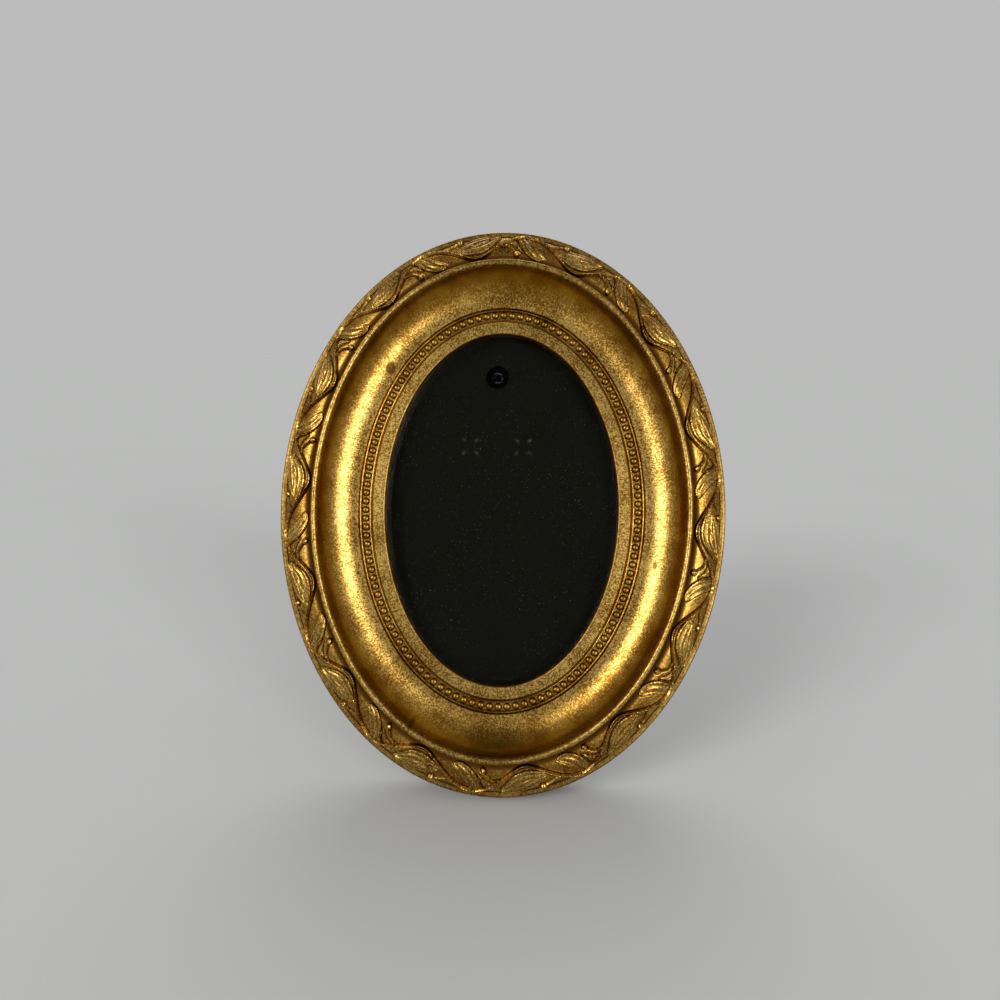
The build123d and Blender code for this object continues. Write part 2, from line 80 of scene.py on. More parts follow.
# Moulding section: heights above the back
REBATE_DEPTH = 5.1
SIGHT_HEIGHT = 9.0
CHANNEL_FLOOR = 8.4
COVE_FOOT = 9.2
COVE_TOP = 16.3
VINE_TOP = 15.8
VINE_FOOT = 11.8
FILLET_HEIGHT = 12.0
OUTER_EDGE_FOOT = 8.6
UNDERCUT_FOOT = 7.6

# Moulding section: rises, depths and small rounds
LIP_RISE = 1.2
VINE_BULGE = 0.9
VINE_VALLEY = 0.55
VINE_SEAT_DEPTH = 0.9
EDGE_ROUND = 0.6
QUIRK_DEPTH = 0.3
QUIRK_WIDTH = 0.25
RIDGE_RADIUS = 0.3
BACK_ROUND = 0.5

# Share of the cove's rubbed grain taken away at the top and the foot of the oval: painted light, which
# leaves those parts darker amber and the sides paler as if lit
COVE_PAINTED_SIDE_LIGHT = 0.4

# Marks of age: outset, degrees clockwise from the top, half length, half width, strength
MARKS = [
    (11.3, -48.6, 1.7, 1.4, 2.0),
    (10.6, -108.9, 0.9, 0.7, 0.95),
    (19.3, -152.4, 0.9, 1.8, 0.95),
    (13.0, 104.9, 1.8, 1.2, 0.6),
]
DEEPEST_MARK = 0.64

# Beading: sizes of a pearl, the lift of its rings in degrees, and its finish from foot to top
PEARL_COUNT = 122
PEARL_RADIUS = 1.2
PEARL_RISE = 0.8
PEARL_LOWEST_RING = -12
PEARL_HIGHEST_RING = 78
PEARL_GRAIN = 0.4
PEARL_FOOT_WASH = 0.9
PEARL_WASH_FALL = 0.55
PEARL_LEAST_WASH = 0.38

# Vine: its repeat, its main stem and the valley beside the lip, in shares of the repeat and the band
REPEATS = 14
BUD_PHASE = 0.125
STEM_MIDDLE = 0.53
STEM_SWING = 0.41
STEM_CREST = 0.105
STEM_START = -0.7
STEM_END = 1.7
VALLEY_REACH = 0.14

# Vine: how its strokes lie over each other, and the dark quirk along their edges
STROKE_SOFTNESS = 0.16
RELIEF_CARRIED = 0.3
RELIEF_KEPT = 0.9
WASH_COVERED = 0.8
QUIRK_REACH = 0.17
QUIRK_CUT = 0.22
QUIRK_FAINTEST = 0.02
QUIRK_THINNEST_STROKE = 0.1

# Vine: outlines of leaves and blades
LEAF_LEAN = 0.8
LEAF_FULLNESS = 0.75
BLADE_TAPER = 0.65
BLADE_ROOT = 0.75
BLADE_SWELL = 0.9

# Vine: folds and veins of leaves and blades, in shares of their height, and the brown in their hollows,
# partly painted shade
LEAF_FLOOR = 0.38
LEAF_DOME = 0.30
FOLD_HEIGHT = 0.36
FOLD_WAVES = 2.4
FOLD_LEAN = 1.2
FOLD_PHASE = -0.4
FOLD_WASH_AND_SHADE = 0.40
VEIN_HEIGHT = 0.06
VEIN_WAVES = 9
VEIN_LEAN = 3.0
VEIN_WASH_AND_SHADE = 0.12

# Vine: brown of the ground between its strokes, painted shade in the groove beside the lip, darkening
# beside the fillet, its grain, and how deep its edges are seated
BAND_OVERLAP = 0.01
GROUND_WASH = 0.30
GROUND_RELIEF = 0.4
INNER_GROOVE_PAINTED_SHADE = 0.8
INNER_GROOVE_REACH = 0.21
OUTER_GROOVE_DARKENING = 0.45
OUTER_GROOVE_REACH = 0.1
SEATED_SHARE = 0.8
VINE_GRAIN = 0.46
VINE_GRAIN_RISE = 0.25
VINE_MOST_GRAIN = 0.64

# Paper facing behind the glass
PANE_CLEARANCE = 0.4
PANE_OUTSET = REBATE_LEDGE - PANE_CLEARANCE
FACING_FRONT = 3.05
FACING_THICKNESS = 0.15
EASEL_OFFSET = -1.9
EYELET_BELOW_SIGHT = 13.0
EYELET_HEIGHT = SIGHT_HALF_HEIGHT - EYELET_BELOW_SIGHT
RECESS_RADIUS = 3.85
EYELET_RIM = 1.6
EYELET_RIM_WEAR_AND_HIGHLIGHT = 0.22
BORE_RADIUS = 0.88
BORE_SHADE_DISC_FRONT = 1.0

# Dents of the rivets' prongs in the facing
RIVET_BELOW_EYELET = 23.0
RIVET_HEIGHT = EYELET_HEIGHT - RIVET_BELOW_EYELET
RIVET_SIDE = 8.7
PRONGS = 4
PRONG_PLACE = 2.95
DENT_HEIGHT = 0.035
DENT_HALF_LENGTH = 0.75
DENT_HALF_WIDTH = 0.45
DENT_MARGIN = 2.0
DENT_STEP = 0.25

# Mesh density
OVAL_SAMPLES = 20001
BODY_COLUMNS = 620
COVE_STEPS = 36
COVE_LOWER_STEPS = 19
PEARL_RINGS = 7
PEARL_SIDES = 16
COLUMNS_PER_REPEAT = 190
VINE_ROWS = 66
CURVE_SAMPLES = 96
FACING_SIDES = 160
RECESS_SIDES = 80
BORE_SIDES = 32
FLOOR_SIDES = 64

# Limits of working with rounded numbers, in millimetres
MERGE_DISTANCE = 1e-6
LEAST_HALF_WIDTH = 1e-3
FAR_AWAY = 1e9

# Colours as red, green and blue, most of them in pairs to blend between
RUBBED_GOLD = ((0.18, 0.080, 0.008), (0.74, 0.485, 0.13))
AMBER_GOLD = ((0.185, 0.070, 0.003), (0.30, 0.138, 0.009))
BROWN_WASH_AND_SHADE = ((0.030, 0.009, 0.001), (0.090, 0.034, 0.005))
BROWN_PAINT = ((0.040, 0.022, 0.012), (0.075, 0.042, 0.022))
BLACK_PAPER = ((0.0019, 0.0021, 0.0011), (0.0031, 0.0033, 0.0019))
RUBBED_PAPER = (0.028, 0.029, 0.024)
PALE_DUST = (0.10, 0.103, 0.10)
BLACK_BOARD = ((0.0003, 0.0003, 0.0003), (0.0007, 0.0007, 0.0006))
BROWN_BOARD = ((0.085, 0.055, 0.032), (0.17, 0.115, 0.07))
BLACK_PILE = ((0.010, 0.010, 0.011), (0.028, 0.027, 0.028))
PILE_SHEEN = (0.5, 0.5, 0.52)
NICKEL = ((0.66, 0.645, 0.61), (0.40, 0.375, 0.34))
BRASS = ((0.74, 0.53, 0.22), (0.46, 0.30, 0.11))
LACQUER = (0.0005, 0.0005, 0.0005)
LACQUER_WORN_AND_HIGHLIGHT = (0.075, 0.075, 0.07)
GLASS_TINT = (0.97, 0.985, 0.975)
GLASS_SHADOW = (0.95, 0.97, 0.96)
PALE_FLOOR = ((0.500, 0.505, 0.500), (0.509, 0.514, 0.509))
ROOM_TINT = (0.99, 1.0, 0.99)

# Floor's radius in metres, the room's light at its bright and dim ends, and where it turns dim
FLOOR_RADIUS = 30.0
ROOM_LIGHT = 0.5
ROOM_DIM = 0.02
ROOM_GAP = (0.13, 0.24)
ROOM_SHIFT = 0.05

# Lights: the way towards each, its width in degrees and its strength
FRONT_LIGHTS = {
    "right_front_light": ((0.53, 0.0, 0.85), 26, 1.6),
    "left_front_light": ((-0.56, 0.22, 0.80), 26, 1.5),
}
TOP_LIGHT = ((0.0, 0.6, 0.8), 40, 0.9)

# Camera, in the frame's own axes: place in millimetres, turn as an axis times radians
CAMERA_PLACE = (9.106, -17.742, 246.565)
CAMERA_TURN = (0.0838, 0.0391, 0.0127)
FOCAL_PIXELS = 751.0
PICTURE_PIXELS = 1000.0
SENSOR_WIDTH = 36.0
NEAREST_SEEN = 0.01


# Placing

def standing_place():
    """Matrix from the frame lying on its back, in millimetres, to where it stands, in metres."""
    swivel = next(j for j in frame["joints"] if j["name"] == "turn_button_top_right_swivel")
    out = -Vector(swivel["axis"]).normalized()
    right = Vector((1, 0, 0))
    up = out.cross(right)
    low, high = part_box("glass_pane")
    origin = (low + high) / 2 - out * GLASS_MIDDLE * MM
    turn = Matrix((right, up, out)).transposed().to_4x4()
    return Matrix.Translation(origin) @ turn @ Matrix.Scale(MM, 4)


STANDING = standing_place()


def placed(points):
    """Millimetre points of the lying frame as metre points of the standing one."""
    matrix = np.array(STANDING)
    return points @ matrix[:3, :3].T + matrix[:3, 3]


def clockwise_angles(outset, count, start=0.0):
    """Angles from the top, clockwise, that share an oval out evenly along its length."""
    fine = np.linspace(0, 2 * math.pi, OVAL_SAMPLES)
    x = (SIGHT_HALF_WIDTH + outset) * np.sin(fine)
    y = (SIGHT_HALF_HEIGHT + outset) * np.cos(fine)
    length = np.concatenate([[0], np.cumsum(np.hypot(np.diff(x), np.diff(y)))])
    wanted = (start + np.arange(count) / count) % 1.0 * length[-1]
    return np.interp(wanted, length, fine), length[-1]


def on_ovals(angles, outsets, heights):
    """Points at the given angles, outsets and heights, whose arrays broadcast together."""
    x = (SIGHT_HALF_WIDTH + outsets) * np.sin(angles)
    y = (SIGHT_HALF_HEIGHT + outsets) * np.cos(angles)
    return np.stack(np.broadcast_arrays(x, y, heights), axis=-1)


# Meshes

def mesh_object(name, points, faces, attributes, sharp_degrees=40):
    """Object from millimetre points, with named values on its points."""
    mesh = bpy.data.meshes.new(name)
    mesh.from_pydata(placed(points).tolist(), [], faces)
    work = bmesh.new()
    work.from_mesh(mesh)
    bmesh.ops.recalc_face_normals(work, faces=work.faces)
    work.to_mesh(mesh)
    work.free()
    for key, values in attributes.items():
        kind = "FLOAT_VECTOR" if values.ndim == 2 else "FLOAT"
        field = "vector" if values.ndim == 2 else "value"
        layer = mesh.attributes.new(key, kind, "POINT")
        layer.data.foreach_set(field, values.astype(np.float32).ravel())
    mesh.shade_smooth()
    mesh.set_sharp_from_angle(angle=math.radians(sharp_degrees))
    piece = bpy.data.objects.new(name, mesh)
    bpy.context.scene.collection.objects.link(piece)
    return piece


def loop_faces(columns, rows):
    """Quads of a grid that closes on itself both ways."""
    column = np.arange(columns)[:, None]
    row = np.arange(rows)[None, :]
    after = (column + 1) % columns
    above = (row + 1) % rows
    corners = [column * rows + row, after * rows + row, after * rows + above, column * rows + above]
    return np.stack([np.broadcast_to(c, (columns, rows)) for c in corners], -1).reshape(-1, 4).tolist()


def running_place(angles_share, length, across):
    """Seamless texture place: round a circle as long as the oval, and across the section."""
    turn = 2 * math.pi * angles_share[:, None]
    radius = length / (2 * math.pi)
    x = radius * np.cos(turn)
    y = radius * np.sin(turn)
    return np.stack(np.broadcast_arrays(x, y, across), axis=-1).reshape(-1, 3) * MM


def ring_object(name, angles, length, outsets, heights, finish):
    """Closed ring from a grid of section points, one column for each angle."""
    columns, rows = outsets.shape
    points = on_ovals(angles[:, None], outsets, heights).reshape(-1, 3)
    steps = np.hypot(np.diff(outsets, axis=1), np.diff(heights, axis=1))
    across = np.concatenate([np.zeros((columns, 1)), np.cumsum(steps, axis=1)], axis=1)
    attributes = {key: np.broadcast_to(v, (columns, rows)).ravel() for key, v in finish.items()}
    attributes["place"] = running_place(np.arange(columns) / columns, length, across)
    return mesh_object(name, points, loop_faces(columns, rows), attributes)


# Moulding body

def straight(start, end, steps):
    """Points from start towards end, without the end."""
    share = np.arange(steps)[:, None] / steps
    return np.array(start) * (1 - share) + np.array(end) * share


def bow(centre, half_width, rise, first, last, steps):
    """Points round part of an ellipse, in degrees, without the last."""
    turn = np.radians(np.linspace(first, last, steps, endpoint=False))
    return np.stack([centre[0] + half_width * np.cos(turn), centre[1] + rise * np.sin(turn)], axis=-1)


def round_bow(centre, radius, first, last, steps):
    """Points round part of a circle, in degrees, without the last."""
    return bow(centre, radius, radius, first, last, steps)


def cove(steps):
    """Hollow that starts level at its foot and steepens to the lip."""
    width = LIP_START - COVE_START
    rise = COVE_TOP - COVE_FOOT
    radius = (width * width + rise * rise) / (2 * rise)
    turn = np.linspace(0, 2 * math.atan2(rise, width), steps, endpoint=False)
    return np.stack([COVE_START + radius * np.sin(turn), COVE_FOOT + radius * (1 - np.cos(turn))], axis=-1)


def run(points, grain, wash_and_shade, bare=0.0):
    """Stretch of the section, with its grain and its brown glaze spread from its start to its end."""
    share = np.linspace(0, 1, len(points))
    return {
        "points": points,
        "grain": np.interp(share, (0, 1), grain),
        "wash_and_shade": np.interp(share, (0, 1), wash_and_shade),
        "bare": np.full(len(points), bare),
    }


def sight_runs():
    """Runs from the rebate over the sight band and the beading's channel to the cove's foot."""
    edge = SIGHT_HEIGHT - EDGE_ROUND
    quirk = SIGHT_HEIGHT - QUIRK_DEPTH
    ridge_in = CHANNEL_START - 2 * RIDGE_RADIUS
    ridge_out = CHANNEL_END + 2 * RIDGE_RADIUS
    band_start = (EDGE_ROUND, SIGHT_HEIGHT)
    band_end = (SIGHT_BAND_END, SIGHT_HEIGHT)
    inner_quirk = (SIGHT_BAND_END + QUIRK_WIDTH / 2, quirk)
    inner_ridge = (ridge_in + RIDGE_RADIUS, SIGHT_HEIGHT)
    inner_floor = (CHANNEL_START, CHANNEL_FLOOR)
    outer_floor = (CHANNEL_END, CHANNEL_FLOOR)
    outer_ridge = (CHANNEL_END + RIDGE_RADIUS, SIGHT_HEIGHT)
    outer_quirk = (ridge_out + QUIRK_WIDTH / 2, quirk)
    return [
        run(straight((0, REBATE_DEPTH), (0, edge), 3), grain=(0.5, 0.5), wash_and_shade=(0.7, 0.4)),
        run(round_bow((EDGE_ROUND, edge), EDGE_ROUND, 180, 90, 5), grain=(0.3, 0.6), wash_and_shade=(0.7, 0.48)),
        run(straight(band_start, band_end, 6), grain=(1, 1), wash_and_shade=(0.25, 0.1)),
        run(straight(band_end, inner_quirk, 2), grain=(1, 0), wash_and_shade=(0.4, 0.75)),
        run(straight(inner_quirk, (ridge_in, SIGHT_HEIGHT), 2), grain=(0, 0), wash_and_shade=(0.75, 0.2)),
        run(round_bow(inner_ridge, RIDGE_RADIUS, 180, 0, 6), grain=(0.4, 0.4), wash_and_shade=(0, 0)),
        run(straight((CHANNEL_START, SIGHT_HEIGHT), inner_floor, 2), grain=(0, 0), wash_and_shade=(0.35, 0.6)),
        run(straight(inner_floor, outer_floor, 6), grain=(0.5, 0.5), wash_and_shade=(0.12, 0.12)),
        run(straight(outer_floor, (CHANNEL_END, SIGHT_HEIGHT), 2), grain=(0, 0), wash_and_shade=(0.6, 0.35)),
        run(round_bow(outer_ridge, RIDGE_RADIUS, 180, 0, 6), grain=(0.4, 0.4), wash_and_shade=(0, 0)),
        run(straight((ridge_out, SIGHT_HEIGHT), outer_quirk, 2), grain=(0, 0), wash_and_shade=(0.2, 0.7)),
        run(straight(outer_quirk, (COVE_START, COVE_FOOT), 2), grain=(0, 1), wash_and_shade=(0.7, 0.35)),
    ]


def cove_runs():
    """Runs up the cove, less rubbed towards its top, and over the lip."""
    hollow = cove(COVE_STEPS)
    lip = ((LIP_START + VINE_START) / 2, COVE_TOP)
    half_lip = (VINE_START - LIP_START) / 2
    return [
        run(hollow[:COVE_LOWER_STEPS], grain=(1, 0.56), wash_and_shade=(0.3, 0.14)),
        run(hollow[COVE_LOWER_STEPS:], grain=(0.56, 0), wash_and_shade=(0.14, 0)),
        run(bow(lip, half_lip, LIP_RISE, 180, 0, 14), grain=(0.8, 0.8), wash_and_shade=(0.36, 0.36)),
    ]


def outer_runs():
    """Runs along the vine's seat, over the outer fillet and down to the back."""
    seat_top = (VINE_START, VINE_TOP - VINE_SEAT_DEPTH)
    seat_foot = (FILLET_START, VINE_FOOT - VINE_SEAT_DEPTH)
    fillet = (FILLET_START, FILLET_HEIGHT)
    rim = MOULDING_WIDTH - EDGE_ROUND
    rim_foot = FILLET_HEIGHT - EDGE_ROUND
    edge_foot = (MOULDING_WIDTH, OUTER_EDGE_FOOT)
    undercut = (UNDERCUT_OUTSET, UNDERCUT_FOOT)
    return [
        run(straight((VINE_START, COVE_TOP), seat_top, 3), grain=(0, 0), wash_and_shade=(0.6, 1)),
        run(straight(seat_top, seat_foot, 3), grain=(0, 0), wash_and_shade=(1, 1)),
        run(straight(seat_foot, fillet, 2), grain=(0, 0), wash_and_shade=(0.8, 0.3)),
        run(straight(fillet, (rim, FILLET_HEIGHT), 3), grain=(0.9, 0.9), wash_and_shade=(0.54, 0.5)),
        run(round_bow((rim, rim_foot), EDGE_ROUND, 90, 0, 5), grain=(0.9, 0.7), wash_and_shade=(0.5, 0.46)),
        run(straight((MOULDING_WIDTH, rim_foot), edge_foot, 3), grain=(0.6, 0.4), wash_and_shade=(0, 0.2)),
        run(straight(edge_foot, undercut, 2), grain=(0.2, 0.2), wash_and_shade=(0.3, 0.7)),
        run(straight(undercut, (BACK_EDGE, BACK_ROUND), 6), grain=(0.2, 0.1), wash_and_shade=(0.5, 0.8)),
    ]


def back_runs():
    """Runs across the bare back and round the rebate to the start."""
    turn_in = BACK_EDGE - BACK_ROUND
    ledge = (REBATE_LEDGE, REBATE_DEPTH)
    return [
        run(round_bow((turn_in, BACK_ROUND), BACK_ROUND, 0, -90, 4), grain=(0, 0), wash_and_shade=(0.9, 1), bare=1.0),
        run(straight((turn_in, 0), (REBATE_LEDGE, 0), 12), grain=(0, 0), wash_and_shade=(1, 1), bare=1.0),
        run(straight((REBATE_LEDGE, 0), ledge, 3), grain=(0, 0), wash_and_shade=(1, 1), bare=1.0),
        run(straight(ledge, (0, REBATE_DEPTH), 2), grain=(0, 0), wash_and_shade=(1, 1), bare=1.0),
    ]


def stains(angles, outsets):
    """Brown of the small marks of age: a spot, a dot, a scratch and a rubbed patch."""
    tone = np.zeros(np.broadcast(angles, outsets).shape)
    for outset, degrees, half_length, half_width, strength in MARKS:
        place = math.radians(degrees)
        turn = (np.degrees(angles) - degrees + 180) % 360 - 180
        per_radian = np.hypot(
            (SIGHT_HALF_WIDTH + outset) * math.cos(place),
            (SIGHT_HALF_HEIGHT + outset) * math.sin(place),
        )
        along = np.radians(turn) * per_radian / half_length
        across = (outsets - outset) / half_width
        tone = np.maximum(tone, strength * np.exp(-(along ** 2) - across ** 2))
    return np.minimum(tone, DEEPEST_MARK)


def moulding_body():
    """The cast ring without its beading and vine, standing for the solid moulding."""
    runs = sight_runs() + cove_runs() + outer_runs() + back_runs()
    finish = {key: np.concatenate([stretch[key] for stretch in runs]) for key in runs[0]}
    section = finish.pop("points")
    angles, length = clockwise_angles(COVE_START, BODY_COLUMNS)
    outsets = np.repeat(section[None, :, 0], BODY_COLUMNS, axis=0)
    heights = np.repeat(section[None, :, 1], BODY_COLUMNS, axis=0)
    in_front = heights > REBATE_DEPTH
    in_cove = in_front * (outsets > COVE_START) * (outsets < LIP_START)
    # Painted light: less grain at the top and foot of the oval darkens the cove there, and the sides stay
    # paler as if lit.
    finish["grain"] = finish["grain"] * (1 - COVE_PAINTED_SIDE_LIGHT * in_cove * np.cos(angles[:, None]) ** 2)
    finish["wash_and_shade"] = np.maximum(finish["wash_and_shade"], stains(angles[:, None], outsets) * in_front)
    return ring_object("gilt_moulding", angles, length, outsets, heights, finish)


# Beading

def pearl():
    """Points and faces of one pearl on the Z axis, with a flat underside."""
    lift = np.radians(np.linspace(PEARL_LOWEST_RING, PEARL_HIGHEST_RING, PEARL_RINGS))[:, None]
    turn = (2 * math.pi * np.arange(PEARL_SIDES) / PEARL_SIDES)[None, :]
    x = np.cos(lift) * np.cos(turn)
    y = np.cos(lift) * np.sin(turn)
    shell = np.stack(np.broadcast_arrays(x, y, np.sin(lift)), axis=-1).reshape(-1, 3)
    points = np.concatenate([shell, [[0, 0, 1]]]) * (PEARL_RADIUS, PEARL_RADIUS, PEARL_RISE)
    faces = []
    for ring in range(PEARL_RINGS - 1):
        low = ring * PEARL_SIDES
        high = low + PEARL_SIDES
        for side in range(PEARL_SIDES):
            after = (side + 1) % PEARL_SIDES
            faces.append((low + side, low + after, high + after, high + side))
    top = PEARL_RINGS * PEARL_SIDES
    last = top - PEARL_SIDES
    faces += [(last + side, last + (side + 1) % PEARL_SIDES, top) for side in range(PEARL_SIDES)]
    faces.append(tuple(reversed(range(PEARL_SIDES))))
    return points, faces


def beading():
    """Row of pearls along the middle of the channel."""
    points, faces = pearl()
    middle = (CHANNEL_START + CHANNEL_END) / 2
    angles, _ = clockwise_angles(middle, PEARL_COUNT)
    centres = on_ovals(angles, middle, CHANNEL_FLOOR)
    every = (centres[:, None, :] + points[None, :, :]).reshape(-1, 3)
    all_faces = [tuple(i + k * len(points) for i in face) for k in range(PEARL_COUNT) for face in faces]
    rise = np.tile(points[:, 2] / PEARL_RISE, PEARL_COUNT)
    finish = {
        "grain": np.full(len(every), PEARL_GRAIN),
        "wash_and_shade": np.clip(PEARL_FOOT_WASH - PEARL_WASH_FALL * rise, PEARL_LEAST_WASH, 1),
        "bare": np.zeros(len(every)),
        "place": every * MM,
    }
    return mesh_object("pearl_beading", every, all_faces, finish, sharp_degrees=60)


# Vine

def smooth_curve(points):
    """Evenly stepped points on a smooth curve through the given ones."""
    points = np.array(points, float)
    padded = np.vstack([2 * points[0] - points[1], points, 2 * points[-1] - points[-2]])
    step = np.linspace(0, len(points) - 1, CURVE_SAMPLES)
    first = np.minimum(step.astype(int), len(points) - 2)
    t = (step - first)[:, None]
    a, b, c, d = (padded[first + i] for i in range(4))
    return b + 0.5 * t * (c - a + t * (2 * a - 5 * b + 4 * c - d + t * (3 * (b - c) + d - a)))


def near_curve(curve, points):
    """Signed distance of points from a curve, and how far along it they lie, from 0 to 1."""
    best = np.full(len(points), FAR_AWAY)
    signed = np.zeros(len(points))
    along = np.zeros(len(points))
    for i, (start, end) in enumerate(zip(curve[:-1], curve[1:])):
        stride = end - start
        offset = points - start
        t = np.clip(offset @ stride / (stride @ stride), 0, 1)
        distance = np.hypot(*(offset - t[:, None] * stride).T)
        nearer = distance < best
        side = np.sign(stride[0] * offset[:, 1] - stride[1] * offset[:, 0])
        best = np.where(nearer, distance, best)
        signed = np.where(nearer, distance * side, signed)
        along = np.where(nearer, (i + t) / (len(curve) - 1), along)
    return signed, along


def stroke_width(kind, along, widest):
    """Half width along a stroke: leaves run out at both ends, blades start broad and run out at the tip."""
    if kind == "leaf":
        return widest * np.sin(math.pi * along ** LEAF_LEAN) ** LEAF_FULLNESS
    if kind == "blade":
        return widest * (1 - along) ** BLADE_TAPER * (BLADE_ROOT + BLADE_SWELL * along)
    return np.full(len(along), widest)


def stem_points():
    """The main stem's wave, over more than one repeat."""
    phase = np.linspace(STEM_START, STEM_END, CURVE_SAMPLES)
    wave = np.cos(2 * math.pi * (phase - STEM_CREST))
    return np.stack([phase, STEM_MIDDLE + STEM_SWING * wave], axis=-1)


def vine_strokes():
    """Strokes of one repeat, the lowest first, as (kind, places, half width, height).

    A place is (share of the repeat clockwise from the inner bud, share of the band outwards)."""
    inner_stalk = [(-0.17, 0.50), (-0.113, 0.51), (-0.068, 0.45), (-0.035, 0.33), (0.0, 0.21)]
    outer_stalk = [(0.33, 0.72), (0.385, 0.82), (0.43, 0.88), (0.48, 0.88)]
    tendril = [(-0.135, 0.58), (-0.10, 0.75), (-0.05, 0.83), (-0.01, 0.84), (0.01, 0.74), (0.045, 0.40)]
    small_blade = [(-0.10, 0.72), (-0.04, 0.66), (0.01, 0.52), (0.045, 0.34)]
    broad_blade = [(0.055, 0.82), (0.10, 0.56), (0.15, 0.365), (0.21, 0.23), (0.29, 0.15)]
    outer_leaf = [(0.43, 0.53), (0.53, 0.65), (0.63, 0.77), (0.74, 0.87), (0.85, 0.93)]
    inner_leaf = [(0.40, 0.48), (0.51, 0.45), (0.60, 0.44), (0.69, 0.50), (0.77, 0.69), (0.85, 0.92)]
    return [
        ("blade", small_blade, 1.0, 0.4),
        ("blade", broad_blade, 2.6, 0.5),
        ("leaf", outer_leaf, 1.8, 0.5),
        ("leaf", inner_leaf, 2.0, 0.6),
        ("ridge", outer_stalk, 0.3, 0.6),
        ("bud", [(0.460, 0.885), (0.470, 0.885)], 0.78, 1.0),
        ("ridge", tendril, 0.24, 0.65),
        ("ridge", stem_points(), 0.3, 0.8),
        ("ridge", inner_stalk, 0.27, 0.65),
        ("bud", [(-0.004, 0.21), (0.004, 0.19)], 0.82, 1.1),
    ]


def stroke_shape(kind, across, along):
    """Height share of a stroke from -1 to 1 across it, and how much brown lies in its folds, partly painted
    shade.
    """
    dome = np.sqrt(np.clip(1 - across ** 2, 0, 1))
    if kind in ("ridge", "bud"):
        return dome, np.zeros_like(across)
    folds = 0.5 + 0.5 * np.cos(across * FOLD_WAVES * math.pi + FOLD_LEAN * along + FOLD_PHASE)
    veins = 0.5 + 0.5 * np.cos(across * VEIN_WAVES * math.pi + VEIN_LEAN * along)
    height = LEAF_FLOOR + LEAF_DOME * dome + FOLD_HEIGHT * folds + VEIN_HEIGHT * veins
    # Brown in the hollows of the folds and veins: partly glaze, partly painted shade.
    return height, FOLD_WASH_AND_SHADE * (1 - folds) + VEIN_WASH_AND_SHADE * (1 - veins)


def lay_stroke(relief, wash_and_shade, points, size, stroke):
    """Lay one stroke over the relief, with a dark quirk cut along its edges."""
    kind, places, half_width, height = stroke
    repeat = size[0]
    curve = smooth_curve(places) * np.array(size)
    for shift in (-repeat, 0, repeat):
        signed, along = near_curve(curve + (shift, 0), points)
        half = stroke_width(kind, along, half_width)
        edge = half - np.abs(signed)
        inside = np.clip(edge / STROKE_SOFTNESS, 0, 1)
        outside = np.exp(-((np.minimum(edge, 0) / QUIRK_REACH) ** 2)) * (half > QUIRK_THINNEST_STROKE)
        across = np.clip(signed / np.maximum(half, LEAST_HALF_WIDTH), -1, 1)
        shape, lines = stroke_shape(kind, across, along)
        cut = QUIRK_CUT * outside * (outside > QUIRK_FAINTEST)
        relief = np.where(edge < 0, relief - cut, relief)
        raised = np.maximum(relief * RELIEF_CARRIED + height * shape, relief * RELIEF_KEPT)
        relief = relief * (1 - inside) + raised * inside
        wash_and_shade = np.maximum(wash_and_shade * (1 - WASH_COVERED * inside), np.where(edge < 0, outside, 0))
        wash_and_shade = np.maximum(wash_and_shade, inside * lines)
    return relief, wash_and_shade


def vine_relief(rows, size):
    """Relief and brown of one repeat, with painted shade in the leaves' folds, as grids of columns by rows.
    """
    repeat, width = size
    along = np.arange(COLUMNS_PER_REPEAT) / COLUMNS_PER_REPEAT * repeat
    x, y = np.meshgrid(along, rows * width, indexing="ij")
    points = np.stack([x.ravel(), y.ravel()], axis=-1)
    relief = np.zeros(len(points))
    wash_and_shade = np.zeros(len(points))
    for stroke in vine_strokes():
        relief, wash_and_shade = lay_stroke(relief, wash_and_shade, points, size, stroke)
    return relief.reshape(x.shape), wash_and_shade.reshape(x.shape)


def vine_base(rows):
    """Section of the band under the vine from the lip to the fillet, its facing, and its straight width."""
    start = np.array((VINE_START, VINE_TOP))
    end = np.array((FILLET_START, VINE_FOOT))
    chord = np.hypot(*(end - start))
    facing = np.array((start[1] - end[1], end[0] - start[0])) / chord
    valley = VINE_VALLEY * np.exp(-((rows / VALLEY_REACH) ** 2))
    bulge = VINE_BULGE * (1 - (2 * rows - 1) ** 2) - valley
    section = start + rows[:, None] * (end - start) + bulge[:, None] * facing
    slope = np.gradient(section, rows, axis=0)
    normal = np.stack([-slope[:, 1], slope[:, 0]], axis=-1)
    return section, normal / np.hypot(*normal.T)[:, None], chord


def ground_wash_and_shade(rows, relief):
    """Brown between the strokes, with painted shade in the groove beside the lip and a darkening beside the
    fillet.
    """
    # Painted shade: the groove beside the lip is darkened as if the lip shaded it; the ground beside the
    # fillet is darkened too.
    inner = INNER_GROOVE_PAINTED_SHADE * np.exp(-((rows / INNER_GROOVE_REACH) ** 4))
    outer = OUTER_GROOVE_DARKENING * np.exp(-(((1 - rows) / OUTER_GROOVE_REACH) ** 2))
    ground = np.clip(1 - relief / GROUND_RELIEF, 0, 1)
    return np.maximum((inner + outer)[None, :], GROUND_WASH) * ground


